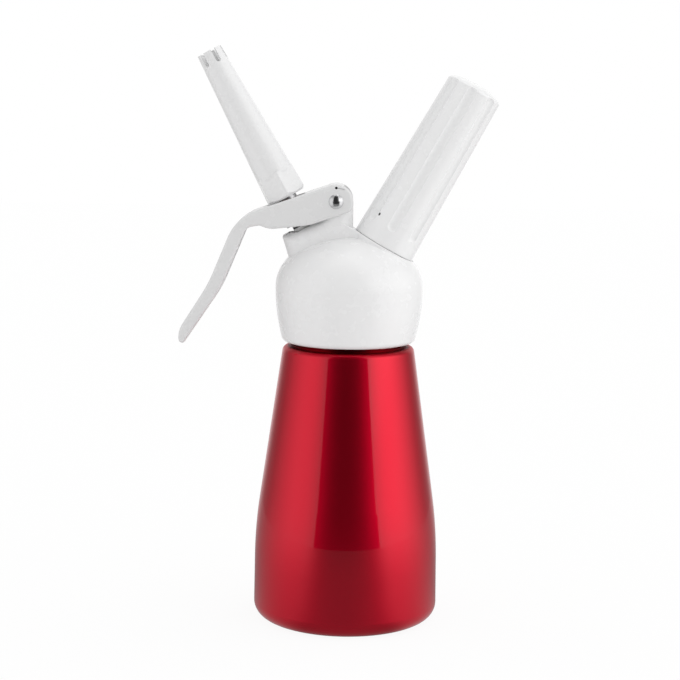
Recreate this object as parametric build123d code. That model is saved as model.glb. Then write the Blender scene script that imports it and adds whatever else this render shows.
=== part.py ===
from build123d import *
from math import cos, pi, radians, sin, sqrt, tan
import os

# Whipped cream dispenser, in millimetres. Z is the bottle's axis, the bottle stands on Z = 0, the
# nozzle and the lever lean towards -X and the charger holder towards +X. Threads are right-handed.

# ---------------------------------------------------------------- bottle
bottle_radius = 37.95          # at the floor, before the base rounding
waist_radius = 37.55           # where the wall turns into the cone
waist_height = 37.8
shoulder_radius = 26.75
shoulder_height = 113.0
bottle_wall = 1.2
base_rounding = 6.2
waist_rounding = 190.0
shoulder_rounding = 2.3
neck_root_radius = 22.8        # neck wall under the thread
neck_bore_radius = 20.5
neck_height = 11.5             # shoulder to lip
neck_bead_radius = 23.5
neck_bead_height = 0.8
lip_rounding = 0.6

# ---------------------------------------------------------------- threads
neck_pitch = 4.0
neck_thread_depth = 1.2
neck_ridge_width = 1.6         # half way up the ridge
neck_thread_start = 3.6        # above the shoulder
neck_thread_turns = 1.6
neck_thread_clearance = 0.25

port_pitch = 2.5
port_thread_depth = 0.8
port_ridge_width = 1.0
port_thread_turns = 2.2
port_thread_clearance = 0.2

stem_pitch = 2.0
stem_thread_depth = 0.7
stem_ridge_width = 0.8
stem_thread_turns = 3.6
stem_thread_clearance = 0.15

flank_slope = 0.35             # ridge half width lost per mm of height
crown_sweep = 88.0             # degrees of arc, the rest of a quarter is a small flat at the axis
ridge_sink = 0.3               # how far a ridge is rooted in its wall
groove_runout = 0.12           # turns by which a groove outruns its ridge

# ---------------------------------------------------------------- fits
seat_gap = 0.02                # pieces pressed or screwed home in one body
slide_gap = 0.05               # radial, between pieces that slide or turn
lever_side_gap = 0.15          # between a cheek and the head
face_gap = 0.05                # between faces that only meet in use
holder_gap = 0.1               # between the holder's mouth and the head
well_gap = 0.3                 # round the stem's collar
face_clearance = 0.3           # round the charger boss's top

# ---------------------------------------------------------------- head
rim_gap = 1.8                  # shoulder to the head's rim
rim_radius = 26.9
rim_rounding = 2.6
dome_radius = 30.0
equator_rise = 22.5            # rim to the widest circle
crown_rise = 21.0              # widest circle to the top of the dome
gasket_thickness = 2.5
gasket_bore_radius = 17.0
cavity_rise = 17.0             # gasket seat to the top of the inner hollow
cavity_wall_rise = 5.5         # gasket seat to where the hollow starts to close in
cavity_top_radius = 8.5
cavity_rounding = 3.0
block_half_width = 8.0         # the slab that carries the valve and the lever
block_edge_rounding = 0.6
block_end_rounding = 6.5
block_end_overhang = 9.1       # valve axis to the slab's free end, at its top
block_end_slope = 17.5         # degrees from upright
block_corner_rounding = 1.0
ledge_rounding = 1.2
post_half_width = 7.0
post_top_rise = 4.7            # pivot to the post's top
post_rounding = 4.0            # where the post's sides meet its arched top

# ---------------------------------------------------------------- valve, heights along its axis
valve_tilt = 28.75             # degrees from upright, towards -X
valve_cross_rise = 11.75       # rim to where the valve's axis crosses the bottle's
cage_bottom = 6.9
cage_thickness = 3.3
cage_radius = 7.7
cage_hole_radius = 1.4
cage_holes = 6
cage_hole_spread = 5.05
valve_boss_radius = 10.0
chamber_radius = 6.8
seat_top = 24.2                # narrow end of the seat's cone
stem_radius = 3.9
stem_bore_radius = 1.8
washer_seat = 0.55             # ring of the stem's shoulder outside the thread
stem_thread_rise = 2.0         # shoulder to the start of the thread
stem_neck_radius = 2.9
stem_neck_length = 3.7
stem_tail_radius = 1.9
cream_hole_radius = 1.5
seal_radius = 5.9
seal_rim = 1.9                 # straight height of the seal below its cone
nut_height = 3.0
nut_across = 8.6
ring_section = 0.95
ring_groove_spacing = 2.8
ring_groove_rise = 5.6         # seat's top to the middle of the lower groove
bush_bottom = 34.7
bush_top = 38.75
bush_radius = 5.6
boss_top = 40.55
collar_radius = 6.0
collar_thickness = 1.5
collar_well_depth = 1.5
well_floor_gap = 0.4           # left under the collar with the lever pulled home
stem_shoulder = 53.35          # the face that carries the nozzle
spigot_length = 10.4
spring_wire = 0.9
spring_mean_radius = 4.2
spring_turns = 3.5

# ---------------------------------------------------------------- lever
pivot_x = -5.75
pivot_rise = 57.4              # rim to the pivot
pin_radius = 1.5
rivet_radius = 2.95
rivet_height = 1.3
cheek_thickness = 2.0
cheek_end_radius = 6.9
plate_slope = 19.2             # degrees, falling towards -X
plate_rise = 6.85              # pivot to the plate's upper face, square to it
plate_thickness = 2.2
bend_reach = 39.9              # pivot to the bend, along the plate
bend_rounding = 20.0
inner_bend_rounding = 4.0
upper_handle_angle = 22.5      # degrees from upright
upper_handle_length = 29.4
lower_handle_angle = 32.4
lower_handle_length = 26.3
handle_rounding = 60.0
handle_depth = 5.4             # at the bend and the knee
tip_depth = 4.7
handle_skin = 1.9
tip_half_width = 7.6
tip_rounding = 1.5
tip_inner_rounding = 1.35
tip_cut_length = 3.8           # the outer edge turns in over this length at the tip
tip_cut_depth = 2.4
tip_cut_rounding = 10.0
cheek_drop = 5.6               # pivot to the cheeks' lower edge
belly_reach = 13.0             # pivot to where the lower edge turns level
belly_rounding = 20.0
cheek_reach = 28.6             # pivot to the lower edge's far corner
cheek_reach_drop = 2.15
cheek_corner_rounding = 9.0
cheek_foot_rounding = 1.6
notch_reach = 32.3             # pivot to the notch between cheeks and handle
notch_rise = 0.7
notch_rounding = 2.0
room_reach = 32.0              # pivot to the far end of the room between the cheeks
room_height = 20.0             # more than the cheeks are high
nose_radius = 1.4
lever_travel = 9.0             # degrees
window_left_gap = 0.6
window_right_gap = 3.3
window_side_gap = 0.6
window_rounding = 2.0
post_room_gap = 1.4            # round the post's top, inside the lever
lever_edge_rounding = 1.2
foot_gap = 0.2                 # round the nozzle's foot
taper_start = 8.0              # bend to where the handle starts to narrow
taper_rounding = 80.0
tip_overhang = 2.0
handle_room_end = 4.0          # left solid at the tip
mark_radius = 0.5              # small round mark over the rivet, with a fine line beside it
mark_depth = 0.8
mark_rise = 5.5
line_length = 3.0
line_width = 0.3
line_depth = 0.4

# ---------------------------------------------------------------- nozzle, heights above its base
nozzle_base_gap = 0.1          # stem shoulder to the nozzle's base, along the axis
nozzle_base_radius = 8.3       # of the cone, carried down to the base
nozzle_tip_radius = 5.15
nozzle_length = 65.8
nozzle_tip_wall = 1.05
nozzle_room_step = 0.6         # inside radius steps in over the insert
grip_height = 11.0
grip_inset = 0.35              # flats lie this far inside the cone
grip_turn = 9.0                # degrees, front corner towards +X
grip_corner_rounding = 0.8
grip_chamfer = 2.0
grip_ledge = 1.15              # corners stand this far out of the cone at most
slot_count = 6
slot_width = 2.0
slot_turn = -7.5               # degrees
slot_length = 5.7
insert_radius = 5.85
insert_length = 10.0
washer_thickness = 0.7
washer_radius = 4.9

# ---------------------------------------------------------------- charger port, along its axis
port_tilt = 29.45              # degrees from upright, towards +X
port_cross_rise = 15.2         # rim to where the port's axis crosses the bottle's
port_boss_radius = 13.5
port_boss_rounding = 0.9
port_boss_top = 27.9
port_flange_radius = 11.0
port_flange_thickness = 2.1
port_washer_thickness = 0.6
port_washer_bore = 4.6
port_sleeve_length = 9.6
port_root_radius = 9.1
port_thread_rise = 1.5
port_bore_radius = 4.75
port_mouth_radius = 6.6
port_mouth_depth = 3.0
gas_bore_floor = 1.5           # left solid at the shank's end
washer_inset = 1.0             # port washer inside the flange
shank_radius = 4.0
shank_bottom = 16.8
sleeve_root_radius = 2.9
shank_end = 12.8
shank_rim_radius = 3.4
shank_rim_height = 0.7
gas_bore_radius = 0.9
gas_hole_radius = 0.55
pocket_radius = 7.2
pocket_top = 20.4
port_nut_height = 3.4
port_nut_across = 11.0
sleeve_wall = 1.0
seal_floor = 30.4
charger_seal_thickness = 1.4
charger_seal_bore = 1.5
needle_radius = 1.3
needle_bottom = 23.6
needle_top = 35.6
needle_tip = 2.6
needle_bore_radius = 0.45
filter_thickness = 0.8

# ---------------------------------------------------------------- charger, a standard 8 g size
charger_radius = 8.95
charger_length = 65.5
charger_neck_radius = 4.4
charger_neck_bore = 2.4
charger_wall = 1.5
cap_thickness = 0.8
cap_inset = 0.3
cap_hole_radius = 1.45

# ---------------------------------------------------------------- charger holder
holder_base_radius = 13.1
holder_top_radius = 11.75
holder_end_wall = 3.65         # over the pad
holder_crown = 3.3
holder_mouth_rounding = 0.5
holder_insert_radius = 11.0
holder_insert_length = 7.7
holder_insert_recess = 0.5
holder_bore_radius = 9.45
flute_count = 8
flute_first_angle = -96.0      # degrees in the holder's own plane, -90 faces the front
flute_depth = 1.0
flute_radius = 3.2
flute_rise = 7.2
flute_end_gap = 0.8
vent_radius = 0.6
vent_rise = 10.4
vent_angle = -131.0
pad_thickness = 1.5

# ---------------------------------------------------------------- heights that follow
rim_height = shoulder_height + rim_gap
lip_height = shoulder_height + neck_height
seat_height = lip_height + gasket_thickness
equator_height = rim_height + equator_rise
cavity_bend = seat_height + cavity_wall_rise
skirt_bore_radius = neck_root_radius + neck_thread_clearance
pivot_height = rim_height + pivot_rise
cheek_inner = block_half_width + lever_side_gap
lever_half_width = cheek_inner + cheek_thickness
guide_radius = stem_radius + slide_gap
cage_top = cage_bottom + cage_thickness
flange_bottom = port_boss_top - port_flange_thickness
washer_bottom = flange_bottom - port_washer_thickness
sleeve_top = port_boss_top + port_sleeve_length


def tilted(degrees, height):
    """Frame whose Z leans by degrees towards +X and whose origin is on the bottle's axis."""
    lean = radians(degrees)
    across = (cos(lean), 0, -sin(lean))
    along = (sin(lean), 0, cos(lean))
    return Plane(origin=(0, 0, height), x_dir=across, z_dir=along)


valve_plane = tilted(-valve_tilt, rim_height + valve_cross_rise)
port_plane = tilted(port_tilt, rim_height + port_cross_rise)
pivot = Vector(pivot_x, 0, pivot_height)
lever_arm = abs(valve_plane.to_local_coords(pivot).X)
valve_travel = lever_arm * radians(lever_travel)


def turned(*outline):
    """Solid turned about Z; outline holds (radius, height) corners."""
    return revolve(Plane.XZ * make_face(Polyline(*outline, close=True)), Axis.Z)


def drum(radius, bottom, top):
    """Plain cylinder about Z between two heights."""
    upright = (Align.CENTER, Align.CENTER, Align.MIN)
    return Pos(0, 0, bottom) * Cylinder(radius, top - bottom, align=upright)


def ring(outer, inner, bottom, top):
    """Plain ring about Z between two heights."""
    return drum(outer, bottom, top) - drum(inner, bottom, top)


def hexagon(across, bottom, top):
    """Hexagonal prism about Z, with a corner facing the front."""
    outline = RegularPolygon(across / 2, 6, major_radius=False, rotation=30)
    return Pos(0, 0, bottom) * extrude(outline, top - bottom)


def rounded(face, point, radius):
    """Flat outline with its corner nearest to point rounded."""
    corner = face.vertices().sort_by_distance(Vector(*point))[0]
    return fillet(corner, radius)


def ridge(root_radius, depth, pitch, turns, width):
    """Helical ridge on a wall; its centre line starts at height 0 on +X."""
    low = width / 2 + (depth / 2 + ridge_sink) * flank_slope
    high = width / 2 - depth / 2 * flank_slope
    foot = root_radius - ridge_sink
    crest = root_radius + depth
    outline = Polyline((foot, -low), (crest, -high), (crest, high), (foot, low), close=True)
    path = Helix(pitch=pitch, height=pitch * turns, radius=root_radius + depth / 2)
    return sweep(Plane.XZ * make_face(outline), path=path, is_frenet=True)


# ================================================================ bottle
def bottle_solid(inset, bore_radius, top):
    """Bottle's outer form, or with an inset the room inside it."""
    shoulder = shoulder_height - inset
    outline = make_face(Polyline(
        (0, inset), (bottle_radius - inset, inset), (waist_radius - inset, waist_height),
        (shoulder_radius - inset, shoulder), (bore_radius, shoulder), (bore_radius, top), (0, top),
        close=True))
    outline = rounded(outline, (bottle_radius - inset, inset), base_rounding - inset)
    outline = rounded(outline, (waist_radius - inset, waist_height), waist_rounding - inset)
    outline = rounded(outline, (shoulder_radius - inset, shoulder), shoulder_rounding)
    return revolve(Plane.XZ * outline, Axis.Z)


def make_bottle():
    body = bottle_solid(0, neck_root_radius, lip_height)
    body += drum(neck_bead_radius, shoulder_height - bottle_wall / 2, shoulder_height + neck_bead_height)
    body -= bottle_solid(bottle_wall, neck_bore_radius, lip_height + 1)
    lip = body.edges().filter_by(GeomType.CIRCLE).group_by(Axis.Z)[-1]
    body = fillet(lip, lip_rounding)
    thread = ridge(neck_root_radius, neck_thread_depth, neck_pitch, neck_thread_turns, neck_ridge_width)
    return body + Pos(0, 0, shoulder_height + neck_thread_start) * thread


def make_head_gasket():
    gasket = ring(skirt_bore_radius - face_gap, gasket_bore_radius, lip_height, seat_height)
    return fillet(gasket.edges().filter_by(GeomType.CIRCLE).group_by(Axis.Z)[0], 0.4)


# ================================================================ head
def dome():
    """Outer form: rim, bulging skirt and elliptical crown."""
    crown = EllipticalCenterArc((0, equator_height), dome_radius, crown_rise, 0, arc_size=crown_sweep)
    flat = crown @ 1
    outline = make_face(
        TangentArc((dome_radius, equator_height), (rim_radius, rim_height), tangent=(0, -1))
        + crown + Polyline(flat, (0, flat.Y), (0, rim_height), (rim_radius, rim_height)))
    outline = rounded(outline, (rim_radius, rim_height), rim_rounding)
    return revolve(Plane.XZ * outline, Axis.Z)


def side_point(plane, along, aside):
    """Point of the XZ plane, from a tilted frame's own heights and offsets."""
    point = plane.from_local_coords((aside, 0, along))
    return (point.X, point.Z)


def slab():
    """Flat block on the dome: valve boss, lever post and the step to the charger boss."""
    foot = equator_height + crown_rise / 3
    left = side_point(valve_plane, boss_top, -block_end_overhang)
    left_foot = (left[0] + (left[1] - foot) * tan(radians(block_end_slope)), foot)
    axis_top = side_point(valve_plane, boss_top, 0)
    post_left = pivot_x - post_half_width
    post_right = pivot_x + post_half_width
    ledge = (post_left, axis_top[1] + (post_left - axis_top[0]) * tan(radians(valve_tilt)))
    port_top = side_point(port_plane, port_boss_top, 0)
    step = (post_right, port_top[1] + (port_top[0] - post_right) * tan(radians(port_tilt)))
    outline = make_face(
        Polyline(port_top, (port_top[0], foot), left_foot, left, ledge, (post_left, pivot_height))
        + ThreePointArc((post_left, pivot_height), (pivot_x, pivot_height + post_top_rise),
                        (post_right, pivot_height))
        + Polyline((post_right, pivot_height), step, port_top))
    outline = rounded(outline, left, block_corner_rounding)
    outline = rounded(outline, ledge, ledge_rounding)
    outline = rounded(outline, (post_left, pivot_height), post_rounding)
    outline = rounded(outline, (post_right, pivot_height), post_rounding)
    block = extrude(Plane.XZ * outline, block_half_width, both=True)
    upright = [e for e in block.edges().filter_by(GeomType.LINE)
               if abs(e.center().X - (left[0] + left_foot[0]) / 2) < 1 and abs(e.center().Y) > 1
               and e.length > 5]
    block = fillet(upright, block_end_rounding)
    front, back = block.faces().sort_by(Axis.Y)[0], block.faces().sort_by(Axis.Y)[-1]
    return fillet(front.edges() + back.edges(), block_edge_rounding)


def port_boss():
    """Round boss that the charger holder closes on."""
    boss = drum(port_boss_radius, port_boss_top / 3, port_boss_top)
    return fillet(boss.edges().filter_by(GeomType.CIRCLE).sort_by(Axis.Z)[-1], port_boss_rounding)


def make_head_housing():
    body = dome() + slab() + port_plane.location * port_boss()
    # room for the neck, its thread and the gasket
    body -= drum(skirt_bore_radius, rim_height - 1, seat_height)
    groove = ridge(skirt_bore_radius, neck_thread_depth, neck_pitch,
                   neck_thread_turns + 1 + groove_runout, neck_ridge_width + 2 * neck_thread_clearance)
    body -= Pos(0, 0, shoulder_height + neck_thread_start - neck_pitch) * groove
    # hollow above the gasket, and the pocket under the charger port
    ceiling = seat_height + cavity_rise
    hollow = make_face(Polyline(
        (0, seat_height - 1), (gasket_bore_radius, seat_height - 1), (gasket_bore_radius, cavity_bend),
        (cavity_top_radius, ceiling), (0, ceiling), close=True))
    hollow = rounded(hollow, (gasket_bore_radius, cavity_bend), cavity_rounding)
    hollow = rounded(hollow, (cavity_top_radius, ceiling), cavity_rounding)
    body -= revolve(Plane.XZ * hollow, Axis.Z)
    body -= port_plane.location * drum(pocket_radius, 0, pocket_top)
    # valve boss, seat, bores and the collar's well
    body += valve_plane.location * drum(valve_boss_radius, cage_bottom - 0.2, seat_top)
    cone_low = seat_top - chamber_radius + guide_radius
    well = boss_top - collar_well_depth
    cage_seat = cage_radius + seat_gap
    bush_seat = bush_radius + seat_gap
    well_radius = collar_radius + well_gap
    clear = boss_top + collar_radius
    body -= valve_plane.location * turned(
        (0, 0), (cage_seat, 0), (cage_seat, cage_top), (chamber_radius, cage_top),
        (chamber_radius, cone_low), (guide_radius, seat_top), (guide_radius, bush_bottom),
        (bush_seat, bush_bottom), (bush_seat, well), (well_radius, well), (well_radius, clear), (0, clear))
    # bore and seat of the charger port, and the flat round it for the holder's mouth
    bore = shank_radius + seat_gap
    seat = port_flange_radius + seat_gap
    flat = port_boss_radius + face_clearance
    clear = port_boss_top + port_boss_radius
    body -= port_plane.location * turned(
        (0, pocket_top - 1), (bore, pocket_top - 1), (bore, washer_bottom), (seat, washer_bottom),
        (seat, port_boss_top), (flat, port_boss_top), (flat, clear), (0, clear))
    # bore of the lever's pin
    body -= Pos(pivot.X, 0, pivot.Z) * Rot(90, 0, 0) * Cylinder(pin_radius, 4 * block_half_width)
    return body


def make_stem_bush():
    return valve_plane.location * ring(bush_radius, guide_radius, bush_bottom, bush_top)


def make_spring_cage():
    cage = drum(cage_radius, cage_bottom, cage_top)
    cage += drum(spring_mean_radius - spring_wire, cage_top - 1, cage_top + 1)
    cage -= drum(cage_hole_radius, cage_bottom - 1, cage_top + 2)
    for spot in PolarLocations(cage_hole_spread, cage_holes):
        cage -= spot * drum(cage_hole_radius, cage_bottom - 1, cage_top)
    return valve_plane.location * cage


# ================================================================ valve
collar_bottom = boss_top - collar_well_depth + valve_travel + well_floor_gap
collar_top = collar_bottom + collar_thickness
seal_top = seat_top - 0.2
seal_cone = seal_radius - guide_radius - slide_gap
seal_bottom = seal_top - seal_cone - seal_rim
nut_bottom = seal_bottom - nut_height
spigot_radius = stem_radius - washer_seat - stem_thread_depth
stem_thread_start = stem_shoulder + stem_thread_rise


def make_valve_stem():
    groove_radius = guide_radius - ring_section
    stem = drum(stem_tail_radius, nut_bottom - 0.5, seal_top)
    stem += drum(stem_neck_radius, seal_top, seal_top + stem_neck_length)
    stem += drum(stem_radius, seal_top + stem_neck_length, stem_shoulder)
    stem += drum(collar_radius, collar_bottom, collar_top)
    stem += drum(spigot_radius, stem_shoulder, stem_shoulder + spigot_length)
    thread = ridge(spigot_radius, stem_thread_depth, stem_pitch, stem_thread_turns, stem_ridge_width)
    stem += Pos(0, 0, stem_thread_start) * thread
    stem -= drum(stem_bore_radius, seal_top + 0.7, stem_shoulder + spigot_length + 1)
    for turn in (0, 90):
        hole = Rot(0, 90, turn) * Cylinder(cream_hole_radius, 4 * stem_radius)
        stem -= Pos(0, 0, seal_top + stem_neck_length / 2 + 0.3) * hole
    for height in ring_heights():
        stem -= ring(stem_radius + 1, groove_radius, height - ring_section * 0.6, height + ring_section * 0.6)
    return valve_plane.location * stem


def ring_heights():
    low = seat_top + ring_groove_rise
    return (low, low + ring_groove_spacing)


def make_stem_o_rings():
    tube = (ring_section - 0.04) / 2
    middle = guide_radius - ring_section / 2
    rings = [Pos(0, 0, h) * Torus(middle, tube) for h in ring_heights()]
    return valve_plane.location * Compound(children=rings)


def make_valve_seal():
    bore = stem_tail_radius + seat_gap
    seal = turned((bore, seal_bottom), (seal_radius, seal_bottom), (seal_radius, seal_bottom + seal_rim),
                  (seal_radius - seal_cone, seal_top), (bore, seal_top))
    return valve_plane.location * seal


def make_seal_nut():
    nut = hexagon(nut_across, nut_bottom, seal_bottom)
    nut -= drum(stem_tail_radius + seat_gap, nut_bottom - 1, seal_bottom + 1)
    return valve_plane.location * nut


def make_valve_spring():
    low = cage_top + spring_wire / 2 + face_gap
    high = nut_bottom - spring_wire / 2 - face_gap
    path = Helix(pitch=(high - low) / spring_turns, height=high - low, radius=spring_mean_radius)
    wire = Plane(origin=path @ 0, z_dir=path % 0) * Circle(spring_wire / 2)
    return valve_plane.location * (Pos(0, 0, low) * sweep(wire, path=path, is_frenet=True))


# ================================================================ lever
def lever_frame(along, across):
    """Point of the XZ plane from the pivot, along the plate and square to it."""
    slope = radians(plate_slope)
    return (pivot.X + along * cos(slope) - across * sin(slope),
            pivot.Z + along * sin(slope) + across * cos(slope))


def handle_line(inset):
    """Bend, knee and tip of the handle's outer edge, moved inwards by inset."""
    slope, upper, lower = radians(plate_slope), radians(upper_handle_angle), radians(lower_handle_angle)
    bend = lever_frame(-bend_reach, plate_rise)
    knee = (bend[0] - upper_handle_length * sin(upper), bend[1] - upper_handle_length * cos(upper))
    tip = (knee[0] - lower_handle_length * sin(lower), knee[1] - lower_handle_length * cos(lower))
    turn = pi / 2 - slope - upper
    mitre = inset / cos(turn / 2)
    facing = upper + turn / 2
    bend_in = (bend[0] + mitre * cos(facing), bend[1] - mitre * sin(facing))
    mitre = inset / cos((lower - upper) / 2)
    facing = (lower + upper) / 2
    knee_in = (knee[0] + mitre * cos(facing), knee[1] - mitre * sin(facing))
    inset = inset * tip_depth / handle_depth
    tip_in = (tip[0] + inset * cos(lower), tip[1] - inset * sin(lower))
    return bend_in, knee_in, tip_in


def lever_outline():
    """Side view of the lever."""
    bend, knee, tip = handle_line(0)
    bend_in, knee_in, tip_in = handle_line(handle_depth)
    end_high = sqrt(cheek_end_radius**2 - plate_rise**2)
    end_low = sqrt(cheek_end_radius**2 - cheek_drop**2)
    top = lever_frame(-end_high, plate_rise)
    low = lever_frame(end_low, -cheek_drop)
    notch = lever_frame(-notch_reach, notch_rise)
    corner = lever_frame(-cheek_reach, -cheek_reach_drop)
    belly = lever_frame(-belly_reach, -cheek_drop)
    along = tip_cut_length / lower_handle_length
    tip_start = (tip[0] + (knee[0] - tip[0]) * along, tip[1] + (knee[1] - tip[1]) * along)
    across = tip_cut_depth / tip_depth
    tip_end = (tip[0] + (tip_in[0] - tip[0]) * across, tip[1] + (tip_in[1] - tip[1]) * across)
    outline = make_face(
        ThreePointArc(low, lever_frame(cheek_end_radius, 0), top)
        + Polyline(top, bend, knee, tip_start, tip_end, tip_in, knee_in, bend_in, notch, corner, belly, low))
    outline = rounded(outline, bend, bend_rounding)
    outline = rounded(outline, knee, handle_rounding)
    outline = rounded(outline, tip_start, tip_cut_rounding)
    outline = rounded(outline, tip_end, tip_rounding)
    outline = rounded(outline, tip_in, tip_inner_rounding)
    outline = rounded(outline, knee_in, handle_rounding - handle_depth)
    outline = rounded(outline, bend_in, inner_bend_rounding)
    outline = rounded(outline, notch, notch_rounding)
    outline = rounded(outline, corner, cheek_corner_rounding)
    outline = rounded(outline, belly, belly_rounding)
    return rounded(outline, low, cheek_foot_rounding)


def lever_plan(inset):
    """Plan of the lever: parallel cheeks, then a handle that narrows to its tip."""
    bend, knee, tip = handle_line(0)
    wide, narrow = lever_half_width - inset, tip_half_width - inset
    left, right = tip[0] - tip_overhang, pivot.X + 2 * cheek_end_radius
    start = bend[0] + taper_start
    outline = make_face(Polyline((left, -narrow), (start, -wide), (right, -wide), (right, wide),
                                 (start, wide), (left, narrow), close=True))
    outline = rounded(outline, (start, -wide), taper_rounding)
    outline = rounded(outline, (start, wide), taper_rounding)
    return extrude(Plane.XY * outline, 2 * pivot.Z)


def lever_form():
    """Lever before its rooms are cut: side view and plan, with the outer edges rounded."""
    form = extrude(Plane.XZ * lever_outline(), lever_half_width, both=True) & lever_plan(0)
    sides = [face for face in form.faces() if abs(face.normal_at().Y) > 0.9]
    edges = [edge for face in sides for edge in face.edges()]
    rim = [edge for edge in edges if sum(edge.is_same(other) for other in edges) == 1]
    return fillet(rim, lever_edge_rounding)


def cheek_room():
    """Room between the cheeks, under the plate."""
    under = plate_rise - plate_thickness
    outline = Polyline(lever_frame(room_height, under), lever_frame(-room_reach, under),
                       lever_frame(-room_reach, -room_height), lever_frame(room_height, -room_height),
                       close=True)
    return extrude(Plane.XZ * make_face(outline), cheek_inner, both=True)


def handle_room():
    """Channel along the inside of the handle."""
    bend, knee, tip = handle_line(handle_skin)
    bend_in, knee_in, tip_in = handle_line(2 * handle_depth)
    stop = handle_room_end / lower_handle_length
    end = (tip[0] + (knee[0] - tip[0]) * stop, tip[1] + (knee[1] - tip[1]) * stop)
    end_in = (tip_in[0] + (knee_in[0] - tip_in[0]) * stop, tip_in[1] + (knee_in[1] - tip_in[1]) * stop)
    start = lever_frame(-cheek_reach, plate_rise - handle_skin)
    start_in = lever_frame(-cheek_reach, plate_rise - 2 * handle_depth)
    outline = make_face(Polyline(start, bend, knee, end, end_in, knee_in, bend_in, start_in, close=True))
    outline = rounded(outline, bend, bend_rounding - handle_skin)
    outline = rounded(outline, knee, handle_rounding - handle_skin)
    room = extrude(Plane.XZ * outline, lever_half_width, both=True)
    return room & lever_plan(cheek_thickness)


def noses():
    """Pads that press on the stem's collar, one each side of the stem, rooted in the cheeks."""
    height = collar_top + face_gap + nose_radius
    inner = stem_radius + window_side_gap
    outer = cheek_inner + cheek_thickness / 2
    pads = []
    for side in (-1, 1):
        pad = Rot(90, 0, 0) * Cylinder(nose_radius, outer - inner)
        pad += Box(2 * nose_radius, outer - inner, stem_shoulder - height,
                   align=(Align.CENTER, Align.CENTER, Align.MIN))
        pads.append(valve_plane.location * (Pos(0, side * (inner + outer) / 2, height) * pad))
    return pads


def stem_window():
    """Opening in the plate that the stem stands in."""
    left = stem_radius + window_left_gap
    right = stem_radius + window_right_gap
    window = Box(left + right, 2 * (stem_radius + window_side_gap), 2 * collar_radius)
    window = fillet(window.edges().filter_by(Axis.Z), window_rounding)
    return valve_plane.location * (Pos((right - left) / 2, 0, stem_shoulder - 1) * window)


def nozzle_foot_room():
    """Shallow recess in the plate where the nozzle's foot comes closest."""
    radius = nozzle_base_radius + grip_ledge + foot_gap
    return drum(radius, stem_shoulder, stem_shoulder + radius)


def lever_mark():
    """Round mark and fine line moulded into the front cheek."""
    mark = Rot(90, 0, 0) * Cylinder(mark_radius, 2 * mark_depth)
    line = Pos(mark_radius + line_length / 2, 0, 0) * Box(line_length, 2 * line_depth, line_width)
    return Pos(pivot.X, -lever_half_width, pivot.Z + mark_rise) * (mark + Rot(0, 10, 0) * line)


def make_lever():
    form = lever_form()
    body = form - cheek_room() - handle_room()
    for nose in noses():
        body += nose & form
    body -= stem_window()
    # rooms for the nozzle's foot and the post's arched top, and the pin's holes
    body -= valve_plane.location * nozzle_foot_room()
    turn = Pos(pivot.X, 0, pivot.Z) * Rot(90, 0, 0)
    body -= turn * Cylinder(post_top_rise + post_room_gap, 2 * cheek_inner)
    body -= turn * Cylinder(pin_radius + slide_gap, 4 * lever_half_width)
    return body - lever_mark()


def make_lever_pin():
    pin = Cylinder(pin_radius, 2 * (lever_half_width + face_gap))
    sphere = (rivet_radius**2 + rivet_height**2) / (2 * rivet_height)
    head = Pos(0, 0, rivet_height - sphere) * Sphere(sphere)
    head &= drum(2 * rivet_radius, 0, 2 * rivet_height)
    seat = lever_half_width + face_gap
    pin += Pos(0, 0, seat) * head
    pin += Rot(180, 0, 0) * (Pos(0, 0, seat) * head)
    return Pos(pivot.X, 0, pivot.Z) * Rot(90, 0, 0) * pin


# ================================================================ nozzle
nozzle_base = stem_shoulder + nozzle_base_gap
washer_top = stem_shoulder + face_gap + washer_thickness
insert_bottom = washer_top


def cone_radius(height):
    """Radius of the nozzle's cone at a height above its base."""
    return nozzle_base_radius + (nozzle_tip_radius - nozzle_base_radius) * height / nozzle_length


def make_nozzle():
    top = nozzle_length
    cone = turned((0, grip_height - 1), (cone_radius(grip_height - 1), grip_height - 1),
                  (nozzle_tip_radius, top), (0, top))
    draft = (nozzle_base_radius - cone_radius(grip_height)) / grip_height
    prism = RegularPolygon(nozzle_base_radius - grip_inset, 6, major_radius=False, rotation=30 + grip_turn)
    prism = fillet(prism.vertices(), grip_corner_rounding)
    grip = loft([prism, Pos(0, 0, grip_height) * scale(prism, 1 - draft * grip_height / nozzle_base_radius)])
    corner = nozzle_base_radius + grip_ledge
    grip &= turned((0, 0), (nozzle_base_radius - grip_chamfer / 2, 0), (corner, grip_chamfer),
                   (cone_radius(grip_height) + grip_ledge, grip_height), (0, grip_height))
    body = grip + cone
    room = grip_height + 0.3
    body -= drum(insert_radius + seat_gap, -1, room)
    tip_bore = nozzle_tip_radius - nozzle_tip_wall
    low_bore = insert_radius - nozzle_room_step
    body -= turned((0, room - 1), (low_bore, room - 1), (low_bore, room), (tip_bore, top),
                   (tip_bore, top + 1), (0, top + 1))
    depth = slot_length - slot_width / 2
    for spot in PolarLocations(nozzle_tip_radius, slot_count):
        slot = Pos(0, 0, top) * Box(2 * nozzle_tip_radius, slot_width, 2 * depth)
        end = Pos(0, 0, top - depth) * Rot(0, 90, 0) * Cylinder(slot_width / 2, 2 * nozzle_tip_radius)
        body -= Rot(0, 0, slot_turn) * spot * (slot + end)
    return valve_plane.location * (Pos(0, 0, nozzle_base) * body)


def make_nozzle_insert():
    bore = spigot_radius + stem_thread_clearance
    insert = ring(insert_radius, bore, insert_bottom, insert_bottom + insert_length)
    groove = ridge(bore, stem_thread_depth, stem_pitch, stem_thread_turns + 1 + groove_runout,
                   stem_ridge_width + 2 * stem_thread_clearance)
    insert -= Pos(0, 0, stem_thread_start - stem_pitch) * groove
    return valve_plane.location * insert


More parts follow.
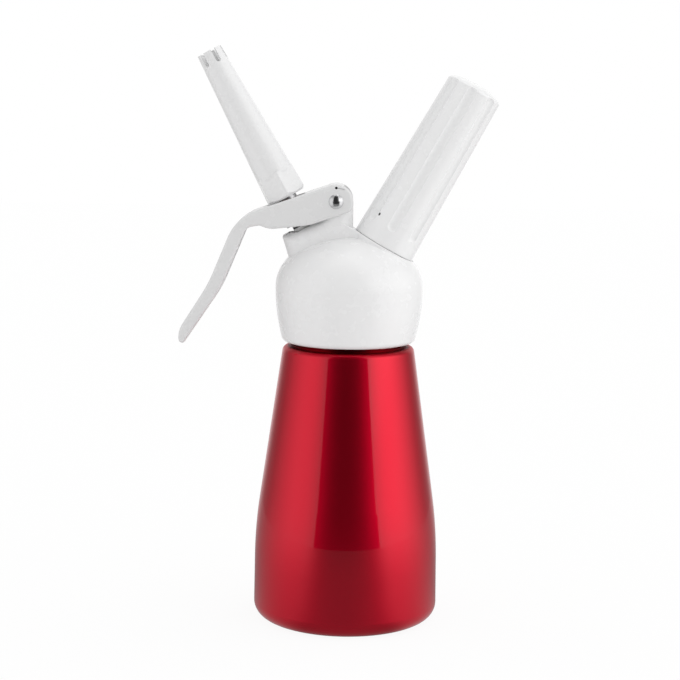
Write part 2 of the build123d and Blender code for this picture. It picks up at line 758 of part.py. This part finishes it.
def make_nozzle_washer():
    bore = spigot_radius + stem_thread_depth + slide_gap
    washer = ring(washer_radius, bore, stem_shoulder + face_gap, washer_top)
    return valve_plane.location * washer


# ================================================================ charger port
def make_charger_port():
    port = drum(port_flange_radius, flange_bottom, port_boss_top)
    port += drum(port_root_radius, port_boss_top, sleeve_top)
    port += drum(shank_radius, shank_bottom, flange_bottom)
    port += drum(sleeve_root_radius, shank_end, shank_bottom)
    port += drum(shank_rim_radius, shank_end, shank_end + shank_rim_height)
    thread = ridge(port_root_radius, port_thread_depth, port_pitch, port_thread_turns, port_ridge_width)
    port += Pos(0, 0, port_boss_top + port_thread_rise) * thread
    port -= drum(gas_bore_radius, shank_end + gas_bore_floor, needle_bottom)
    port -= drum(needle_radius + filter_thickness, needle_bottom - filter_thickness, needle_bottom)
    port -= drum(needle_radius + seat_gap, needle_bottom, seal_floor)
    mouth = sleeve_top - port_mouth_depth
    port -= turned((0, seal_floor), (port_bore_radius, seal_floor), (port_bore_radius, mouth),
                   (port_mouth_radius, sleeve_top), (port_mouth_radius, sleeve_top + 1), (0, sleeve_top + 1))
    gas_hole = Rot(0, 90, 0) * Cylinder(gas_hole_radius, 4 * sleeve_root_radius)
    port -= Pos(0, 0, (shank_end + shank_bottom) / 2) * gas_hole
    return port_plane.location * port


def make_port_washer():
    washer = ring(port_flange_radius - washer_inset, port_washer_bore, washer_bottom, flange_bottom)
    return port_plane.location * washer


def make_port_nut():
    nut = hexagon(port_nut_across, pocket_top - port_nut_height, pocket_top)
    nut -= drum(shank_radius + seat_gap, 0, pocket_top + 1)
    return port_plane.location * nut


def make_check_sleeve():
    bottom = shank_end + shank_rim_height
    sleeve = ring(sleeve_root_radius + sleeve_wall, sleeve_root_radius + seat_gap, bottom, shank_bottom)
    return port_plane.location * sleeve


def make_gas_filter():
    disc = drum(needle_radius + filter_thickness - seat_gap, needle_bottom - filter_thickness, needle_bottom)
    return port_plane.location * disc


def make_piercing_pin():
    edge = needle_bore_radius + 0.15
    taper = needle_top - needle_tip
    pin = turned((needle_bore_radius, needle_bottom), (needle_radius, needle_bottom),
                 (needle_radius, taper), (edge, needle_top), (needle_bore_radius, needle_top))
    return port_plane.location * pin


def make_charger_seal():
    top = seal_floor + charger_seal_thickness
    seal = ring(port_bore_radius - slide_gap, charger_seal_bore, seal_floor, top)
    return port_plane.location * seal


# ================================================================ charger and holder
charger_bottom = seal_floor + charger_seal_thickness + face_gap
charger_top = charger_bottom + charger_length


def charger_form(inset, neck_radius, bottom):
    """Charger's outer form, or with an inset the room inside it; its neck points down."""
    radius = charger_radius - inset
    dome_top = charger_top - charger_radius
    shoulder = charger_bottom + 0.26 * charger_length
    meet = shoulder - sqrt(radius**2 - neck_radius**2)
    across = sin(radians(45)) * radius
    outline = make_face(
        Polyline((0, charger_top - inset), (0, bottom), (neck_radius, bottom), (neck_radius, meet))
        + ThreePointArc((neck_radius, meet),
                        (sin(radians(65)) * radius, shoulder - cos(radians(65)) * radius), (radius, shoulder))
        + Line((radius, shoulder), (radius, dome_top))
        + ThreePointArc((radius, dome_top), (across, dome_top + across), (0, charger_top - inset)))
    return revolve(Plane.XZ * outline, Axis.Z)


def make_charger():
    body = charger_form(0, charger_neck_radius, charger_bottom)
    body -= charger_form(charger_wall, charger_neck_bore, charger_bottom - 1)
    return port_plane.location * body


def make_charger_cap():
    bottom = charger_bottom + cap_inset
    cap = ring(charger_neck_bore - seat_gap, cap_hole_radius, bottom, bottom + cap_thickness)
    return port_plane.location * cap


holder_bottom = port_boss_top + holder_gap
holder_ceiling = charger_top + pad_thickness + face_gap
holder_top = holder_ceiling + holder_end_wall
holder_length = holder_top - holder_bottom


def flute():
    """Cutter for one flute, on the holder's +X side; it follows the wall's taper."""
    low = holder_bottom + flute_rise + flute_radius * 0.6
    high = holder_top - holder_crown - flute_end_gap
    taper = (holder_base_radius - holder_top_radius) / (holder_length - holder_crown)
    def wall(height):
        return holder_base_radius - taper * (height - holder_bottom)
    start = Vector(wall(low) - flute_depth + flute_radius, 0, low)
    stop = Vector(wall(high) - flute_depth + flute_radius, 0, high)
    rod = Plane(origin=start, z_dir=stop - start) * extrude(Circle(flute_radius), (stop - start).length)
    return rod + Pos(*start) * Sphere(flute_radius) + Pos(*stop) * Sphere(flute_radius)


def make_charger_holder():
    edge = holder_top - holder_crown
    crown = EllipticalCenterArc((0, edge), holder_top_radius, holder_crown, 0, arc_size=crown_sweep)
    flat = crown @ 1
    outline = make_face(
        Line((holder_base_radius, holder_bottom), (holder_top_radius, edge)) + crown
        + Polyline(flat, (0, flat.Y), (0, holder_bottom), (holder_base_radius, holder_bottom)))
    outline = rounded(outline, (holder_base_radius, holder_bottom), holder_mouth_rounding)
    body = revolve(Plane.XZ * outline, Axis.Z)
    cutter = flute()
    for number in range(flute_count):
        body -= Rot(0, 0, flute_first_angle + number * 360 / flute_count) * cutter
    insert_top = holder_bottom + holder_insert_recess + holder_insert_length
    body -= drum(holder_insert_radius + seat_gap, holder_bottom - 1, insert_top)
    body -= drum(holder_bore_radius, holder_bottom, holder_ceiling)
    vent = Pos(holder_base_radius, 0, holder_bottom + vent_rise) * (
        Rot(0, 90, 0) * Cylinder(vent_radius, holder_base_radius))
    return port_plane.location * (body - Rot(0, 0, vent_angle) * vent)


def make_holder_insert():
    bottom = holder_bottom + holder_insert_recess
    bore = port_root_radius + port_thread_clearance
    insert = ring(holder_insert_radius, bore, bottom, bottom + holder_insert_length)
    groove = ridge(bore, port_thread_depth, port_pitch, port_thread_turns + 1 + groove_runout,
                   port_ridge_width + 2 * port_thread_clearance)
    insert -= Pos(0, 0, port_boss_top + port_thread_rise - port_pitch) * groove
    return port_plane.location * insert


def make_holder_pad():
    pad = drum(holder_bore_radius - seat_gap, holder_ceiling - pad_thickness, holder_ceiling)
    return port_plane.location * pad


os.makedirs("parts", exist_ok=True)
pieces = {
    "bottle": make_bottle,
    "head_gasket": make_head_gasket,
    "head_housing": make_head_housing,
    "stem_bush": make_stem_bush,
    "spring_cage": make_spring_cage,
    "valve_stem": make_valve_stem,
    "stem_o_rings": make_stem_o_rings,
    "valve_seal": make_valve_seal,
    "seal_nut": make_seal_nut,
    "valve_spring": make_valve_spring,
    "lever": make_lever,
    "lever_pin": make_lever_pin,
    "nozzle": make_nozzle,
    "nozzle_insert": make_nozzle_insert,
    "nozzle_washer": make_nozzle_washer,
    "charger_port": make_charger_port,
    "port_washer": make_port_washer,
    "port_nut": make_port_nut,
    "check_sleeve": make_check_sleeve,
    "gas_filter": make_gas_filter,
    "piercing_pin": make_piercing_pin,
    "charger_seal": make_charger_seal,
    "charger": make_charger,
    "charger_cap": make_charger_cap,
    "charger_holder": make_charger_holder,
    "holder_insert": make_holder_insert,
    "holder_pad": make_holder_pad,
}
for name, make in pieces.items():
    export_step(make(), f"parts/{name}.step")
print("lever arm", round(lever_arm, 3), "valve travel", round(valve_travel, 3))
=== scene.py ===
"""Looks of the whipped cream dispenser: red lacquered bottle, white moulded pieces, metal and rubber."""
import math
import bpy
from mathutils import Matrix

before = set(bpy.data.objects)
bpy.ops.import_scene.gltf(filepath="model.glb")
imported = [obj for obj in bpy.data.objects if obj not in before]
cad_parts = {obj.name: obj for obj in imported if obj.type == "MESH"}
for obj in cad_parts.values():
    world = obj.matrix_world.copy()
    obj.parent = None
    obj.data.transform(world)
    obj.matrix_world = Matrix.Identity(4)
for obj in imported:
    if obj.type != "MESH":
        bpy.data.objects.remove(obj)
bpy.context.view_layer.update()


# Places on the part in metres, and directions

shoulder_height = 0.113

valve_tilt = math.radians(28.75)
valve_foot = (0.0, 0.0, 0.12655)
valve_axis = (-math.sin(valve_tilt), 0.0, math.cos(valve_tilt))
sleeve_end = 0.0405
# Where the painted shade on the valve stem ends, along the valve axis
stem_shade_end = 0.0412

port_tilt = math.radians(29.45)
port_foot = (0.0, 0.0, 0.1300)
port_axis = (math.sin(port_tilt), 0.0, math.cos(port_tilt))

rivet_middle = (-0.00575, 0.0, 0.1722)
rivet_axis = (0.0, 1.0, 0.0)

# Painted shade inside a hole, blackened: a point, the axis through it, the radius, and where it starts
# along the axis
valve_well_shade = (valve_foot, valve_axis, 0.0068, 0.0403)
lever_hole_shade = ((-0.00575, 0.0, 0.1777), (0.0, -1.0, 0.0), 0.00052, 0.0093)
holder_vent_shade = ((0.01888, 0.0, 0.16344), (-0.571, -0.755, 0.3226), 0.00065, 0.0118)


# Shader maths

class Value:
    """One socket of a node tree. Arithmetic on it adds the Math nodes."""

    def __init__(self, tree, socket):
        self.tree = tree
        self.socket = socket

    def __add__(self, other):
        return self.tree.math("ADD", self, other)

    def __radd__(self, other):
        return self.tree.math("ADD", other, self)

    def __sub__(self, other):
        return self.tree.math("SUBTRACT", self, other)

    def __rsub__(self, other):
        return self.tree.math("SUBTRACT", other, self)

    def __mul__(self, other):
        return self.tree.math("MULTIPLY", self, other)

    def __rmul__(self, other):
        return self.tree.math("MULTIPLY", other, self)

    def __neg__(self):
        return self.tree.math("MULTIPLY", self, -1)


class Tree:
    """A node tree with one method that adds any node."""

    def __init__(self, nodes_of):
        self.nodes_of = nodes_of

    def node(self, kind, settings=(), values=(), out=0):
        node = self.nodes_of.nodes.new(kind)
        for name, setting in dict(settings).items():
            setattr(node, name, setting)
        for name, value in dict(values).items():
            self.feed(node.inputs[name], value)
        return Value(self, node.outputs[out]) if len(node.outputs) else node

    def feed(self, socket, value):
        if isinstance(value, Value):
            self.nodes_of.links.new(value.socket, socket)
        else:
            socket.default_value = value

    def math(self, operation, *values):
        return self.node("ShaderNodeMath", {"operation": operation}, dict(enumerate(values)))

    def vector_math(self, operation, first, second, out="Vector"):
        return self.node("ShaderNodeVectorMath", {"operation": operation}, {0: first, 1: second}, out)

    def step(self, value, low, high, start=0.0, end=1.0):
        """Eases from start, where value is low, to end, where it is high."""
        return self.node("ShaderNodeMapRange", {"interpolation_type": "SMOOTHSTEP"}, {
            "Value": value, "From Min": low, "From Max": high, "To Min": start, "To Max": end})

    def mix(self, factor, first, second):
        """Blends two colours."""
        return self.node("ShaderNodeMix", {"data_type": "RGBA"}, {0: factor, 6: first, 7: second}, out=2)

    def place(self):
        return self.node("ShaderNodeTexCoord", out="Object")

    def noise(self, size, detail=3.0, roughness=0.5, vector=None):
        """Noise from 0 to 1 whose spots are about size metres across."""
        return self.node("ShaderNodeTexNoise", (), {
            "Vector": vector or self.place(), "Scale": 1 / size, "Detail": detail, "Roughness": roughness})

    def parts(self, vector):
        """The three numbers of a vector."""
        split = self.node("ShaderNodeSeparateXYZ", (), {0: vector}).socket.node
        return [Value(self, output) for output in split.outputs]

    def radius(self, x, y):
        return self.math("SQRT", x * x + y * y)

    def side(self, x, y):
        """Degrees from the front, + to the right."""
        return self.math("DEGREES", self.math("ARCTAN2", x, -y))

    def round_axis(self, point, axis):
        """Distance from an axis, and how far along it from the point."""
        centre = self.vector_math("SUBTRACT", self.place(), point)
        along = self.vector_math("DOT_PRODUCT", centre, axis, out="Value")
        whole = self.vector_math("DOT_PRODUCT", centre, centre, out="Value")
        return self.math("SQRT", self.math("MAXIMUM", whole - along * along, 0.0)), along

    def ray_kinds(self):
        """Whether a ray comes from the camera, and whether from a mirror."""
        rays = self.node("ShaderNodeLightPath").socket.node.outputs
        return Value(self, rays["Is Camera Ray"]), Value(self, rays["Is Glossy Ray"])


def rgb(red, green, blue):
    return (red, green, blue, 1.0)


def shade(colour, share=1.0):
    """A colour, darkened to a share of itself."""
    return rgb(*(part * share for part in colour))


class Finish(Tree):
    """A material made of one principled shader."""

    def __init__(self, name):
        self.material = bpy.data.materials.new(name)
        self.material.use_nodes = True
        super().__init__(self.material.node_tree)
        self.nodes_of.nodes.clear()

    def surface(self, bumps, bump_height, **values):
        """Ends the tree. Names of values are the shader's sockets, with spaces as underscores."""
        named = {name.replace("_", " "): value for name, value in values.items()}
        named["Normal"] = self.node("ShaderNodeBump", (), {
            "Strength": 1.0, "Distance": bump_height, "Height": bumps})
        shader = self.node("ShaderNodeBsdfPrincipled", (), named)
        self.node("ShaderNodeOutputMaterial", (), {"Surface": shader})
        return self.material


# Materials

# Near-black for painted shade in holes and where the valve stem comes out of the head
shade_black = rgb(0.012, 0.012, 0.012)
steel_grey = (0.60, 0.60, 0.61)
brass_yellow = (0.78, 0.58, 0.27)


def red_lacquer():
    """Clear red lacquer over satin aluminium, with painted shade and no coat where the head covers it,
    above the shoulder, darkest towards the neck.
    """
    look = Finish("red_lacquer")
    x, y, z = look.parts(look.place())
    flakes = look.node("ShaderNodeTexVoronoi", (), {
        "Vector": look.place(), "Scale": 1 / 0.00022}, out="Color")
    flake = look.node("ShaderNodeSeparateColor", (), {0: flakes})
    clouds = look.noise(size=0.035, detail=4.0)
    open_red = look.mix(flake * 0.3 + clouds * 0.4, rgb(0.72, 0.0003, 0.022), rgb(0.79, 0.0012, 0.030))
    # Painted shade under the head: the red darkens inward towards the neck, and above the shoulder it
    # replaces the open red and takes off the coat.
    shade_lightens_outward = look.step(look.radius(x, y), low=0.0236, high=0.0258)
    painted_neck_shade_red = look.mix(shade_lightens_outward, rgb(0.16, 0.0001, 0.003), rgb(0.5, 0.0003, 0.014))
    head_shade = look.step(z, low=shoulder_height - 0.0014, high=shoulder_height - 0.0002)
    coat = 0.6
    return look.surface(
        Base_Color=look.mix(head_shade, open_red, painted_neck_shade_red), Metallic=0.97,
        Roughness=look.step(flake + clouds * 0.5, low=0.2, high=1.4, start=0.38, end=0.43),
        Coat_Weight=coat - head_shade * coat, Coat_Roughness=0.03, Coat_IOR=1.5,
        bumps=look.noise(size=0.0016, detail=2.0), bump_height=0.000008)


def white_plastic(name, tone, hole_shade=None):
    """Glossy white moulding with a faint flow pattern. Painted shade blackens the inside of a given hole.
    """
    look = Finish(name)
    flow = look.noise(size=0.02, detail=3.0)
    colour = look.mix(flow, rgb(tone, tone, tone), rgb(tone * 0.985, tone * 0.985, tone * 0.99))
    if hole_shade:
        # Painted shade: the inside of the hole is blackened.
        point, axis, hole_radius, hole_start = hole_shade
        away, along = look.round_axis(point, axis)
        in_hole_shade = look.math("LESS_THAN", away, hole_radius) * look.math("GREATER_THAN", along, hole_start)
        colour = look.mix(in_hole_shade, colour, shade_black)
    ripple = look.noise(size=0.004, detail=2.0)
    return look.surface(
        Base_Color=colour, Roughness=look.step(ripple + flow, low=0.6, high=1.4, start=0.24, end=0.29),
        IOR=1.5, bumps=ripple, bump_height=0.000006)


def turned_metal(name, colour, roughness, axis_point, axis, sleeved=False):
    """Metal with the fine rings of turning. A sleeved stem is white, then a near-black band of painted
    shade, not metal, where it comes out of the head, then bare metal.
    """
    look = Finish(name)
    radius, along = look.round_axis(axis_point, axis)
    turned = look.node("ShaderNodeCombineXYZ", (), {0: radius, 1: along, 2: 0.0})
    rings = look.noise(size=0.00035, detail=4.0, roughness=0.6, vector=turned)
    wear = look.noise(size=0.004, detail=3.0)
    tint = look.mix(wear, shade(colour), shade(colour, 0.88))
    metallic = 1.0
    if sleeved:
        # Painted shade: the stem is near-black and not metal where it comes out of the head.
        head_shade = look.math("LESS_THAN", along, stem_shade_end)
        sleeve = look.math("LESS_THAN", along, sleeve_end)
        tint = look.mix(sleeve, look.mix(head_shade, tint, shade_black), rgb(0.84, 0.84, 0.84))
        metallic = 1 - head_shade
    return look.surface(
        Base_Color=tint, Metallic=metallic,
        Roughness=look.step(rings, low=0.3, high=0.7, start=roughness, end=roughness + 0.12),
        bumps=rings, bump_height=0.000012)


def matt(name, colour, roughness):
    """Rubber or nylon with a fine grain."""
    look = Finish(name)
    cloud = look.noise(size=0.006, detail=3.0)
    dust = look.noise(size=0.0006, detail=3.0)
    return look.surface(
        Base_Color=look.mix(cloud, shade(colour), shade(colour, 0.85)),
        Roughness=look.step(dust, low=0.3, high=0.7, start=roughness - 0.06, end=roughness + 0.06),
        bumps=dust, bump_height=0.00003)


on_valve = (valve_foot, valve_axis)
on_port = (port_foot, port_axis)
steel_on_valve = turned_metal("steel_valve", steel_grey, 0.16, *on_valve)
steel_on_port = turned_metal("steel_port", steel_grey, 0.2, *on_port)
steel_charger = turned_metal("steel_charger", (0.68, 0.68, 0.69), 0.22, *on_port)
brass_on_port = turned_metal("brass_port", brass_yellow, 0.24, *on_port)
nylon = matt("natural_nylon", (0.80, 0.78, 0.71), 0.42)
red_rubber = matt("red_silicone", (0.55, 0.05, 0.045), 0.5)
black_rubber = matt("black_rubber", (0.035, 0.035, 0.037), 0.55)

finishes = {
    "bottle": red_lacquer(),
    "head_gasket": red_rubber,
    "head_housing": white_plastic("moulded_white", 0.86, valve_well_shade),
    "stem_bush": nylon,
    "spring_cage": nylon,
    "valve_stem": turned_metal("steel_stem", steel_grey, 0.26, *on_valve, sleeved=True),
    "stem_o_rings": black_rubber,
    "valve_seal": black_rubber,
    "seal_nut": steel_on_valve,
    "valve_spring": steel_on_valve,
    "lever": white_plastic("lever_white", 0.76, lever_hole_shade),
    "lever_pin": turned_metal("steel_rivet", (0.66, 0.66, 0.67), 0.12, rivet_middle, rivet_axis),
    "nozzle": white_plastic("nozzle_white", 0.82),
    "nozzle_insert": turned_metal("brass_valve", brass_yellow, 0.24, *on_valve),
    "nozzle_washer": red_rubber,
    "charger_port": steel_on_port,
    "port_washer": nylon,
    "port_nut": steel_on_port,
    "check_sleeve": black_rubber,
    "gas_filter": brass_on_port,
    "piercing_pin": steel_on_port,
    "charger_seal": black_rubber,
    "charger": steel_charger,
    "charger_cap": steel_charger,
    "charger_holder": white_plastic("holder_white", 0.88, holder_vent_shade),
    "holder_insert": brass_on_port,
    "holder_pad": black_rubber,
}
for name, finish in finishes.items():
    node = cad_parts[name]
    node.data.materials.clear()
    node.data.materials.append(finish)


# Camera

camera_place = (-0.00345, -0.678, 0.2083)
camera_down = math.radians(7.82)
camera_roll = math.radians(0.78)

camera_data = bpy.data.cameras.new("camera")
camera_data.sensor_width = 36.0
camera_data.lens = 88.46
camera_data.clip_start = 0.01
camera = bpy.data.objects.new("camera", camera_data)
bpy.context.scene.collection.objects.link(camera)
camera.matrix_world = (
    Matrix.Translation(camera_place)
    @ Matrix.Rotation(math.radians(90) - camera_down, 4, "X")
    @ Matrix.Rotation(camera_roll, 4, "Z"))
bpy.context.scene.camera = camera


# Floor, backdrop and light. Angles are in degrees

left_box_edge = -38.5
right_box_edge = 41.0
highest_slant = 8.0
dark_room = 0.03
table_edge = 0.322
floor_reach = 3.0
white = rgb(1, 1, 1)


def soft_boxes(tree, side, height, blur):
    """Two light boxes and the white walls behind, as mirrors see them at a side and a height."""
    above = tree.math("MAXIMUM", height, 0.0)
    slant = tree.math("MINIMUM", above, highest_slant)
    left_edge = slant * 0.5 + left_box_edge
    left = (tree.step(side - left_edge, low=-blur, high=blur, start=1.0, end=0.0)
            * tree.step(side, low=-125.0, high=-70.0, start=0.0, end=0.98))
    right_edge = right_box_edge - slant * 1.1
    right = (tree.step(side - right_edge, low=-blur, high=blur)
             * tree.step(side, low=72.0, high=125.0, start=1.3, end=0.0)
             * tree.step(above, low=2.5, high=6.0, start=1.0, end=1.3))
    turn = tree.math("ABSOLUTE", side)
    walls = (tree.step(turn, low=80.0, high=112.0, start=0.0, end=0.2)
             + tree.step(turn, low=132.0, high=165.0, start=0.0, end=0.75))
    return (left + right) * tree.step(above, low=20.0, high=50.0, start=1.0, end=0.5) + walls


def floor_finish():
    """White table that shows part of the shadow. Mirrors see it end where the studio starts."""
    look = Finish("white_table")
    x, y, _ = look.parts(look.place())
    radius = look.radius(x, y)
    side = look.side(x, y)
    seen, mirrored = look.ray_kinds()
    grain = look.mix(look.noise(size=0.03, detail=3.0), rgb(0.9, 0.9, 0.9), rgb(0.92, 0.92, 0.92))
    plain = look.node("ShaderNodeBsdfDiffuse", (), {"Color": grain})
    glow = look.node("ShaderNodeEmission", (), {"Color": white, "Strength": 1.0})
    near_light = look.step(radius, low=0.03, high=0.3, start=0.2, end=0.62)
    near = near_light * soft_boxes(look, side, height=0.0, blur=12.0) + 0.29
    far = soft_boxes(look, side, height=0.0, blur=1.0) + dark_room
    outside = look.step(radius, low=table_edge, high=table_edge + 0.015)
    tone = near * (1 - outside) + far * outside
    mirror = look.node("ShaderNodeEmission", (), {"Color": white, "Strength": tone})
    shown = look.node("ShaderNodeMixShader", (), {0: seen * 0.92, 1: plain, 2: glow})
    whole = look.node("ShaderNodeMixShader", (), {0: mirrored, 1: shown, 2: mirror})
    look.node("ShaderNodeOutputMaterial", (), {"Surface": whole})
    return look.material


def make_floor():
    mesh = bpy.data.meshes.new("floor")
    corners = [(x * floor_reach, y * floor_reach, 0) for x, y in ((-1, -1), (1, -1), (1, 1), (-1, 1))]
    mesh.from_pydata(corners, [], [(0, 1, 2, 3)])
    floor = bpy.data.objects.new("floor", mesh)
    bpy.context.scene.collection.objects.link(floor)
    mesh.materials.append(floor_finish())


def make_studio():
    """White to the camera. Mirrors see a dark room in front, between two light boxes."""
    world = bpy.data.worlds.new("studio")
    bpy.context.scene.world = world
    world.use_nodes = True
    world.node_tree.nodes.clear()
    sky = Tree(world.node_tree)
    x, y, z = sky.parts(sky.node("ShaderNodeTexCoord", out="Generated"))
    side = sky.side(x, y)
    height = sky.math("DEGREES", sky.math("ARCSINE", z))
    seen, mirrored = sky.ray_kinds()
    ceiling = sky.step(height, low=60.0, high=80.0, start=0.0, end=0.8)
    mirror = soft_boxes(sky, side, height, blur=1.0) + ceiling + dark_room
    right_light = sky.step(x, low=0.0, high=1.0, start=0.0, end=1.05)
    left_light = sky.step(x, low=-1.0, high=0.0, start=0.39, end=0.0)
    top_light = sky.step(z, low=0.0, high=1.0, start=0.0, end=0.46)
    plain = 0.43 + right_light + left_light + top_light
    strength = seen + (1 - seen) * (mirrored * mirror + (1 - mirrored) * plain)
    shader = sky.node("ShaderNodeBackground", (), {"Color": white, "Strength": strength})
    sky.node("ShaderNodeOutputWorld", (), {"Surface": shader})


make_floor()
make_studio()

bpy.context.scene.view_settings.view_transform = "Standard"
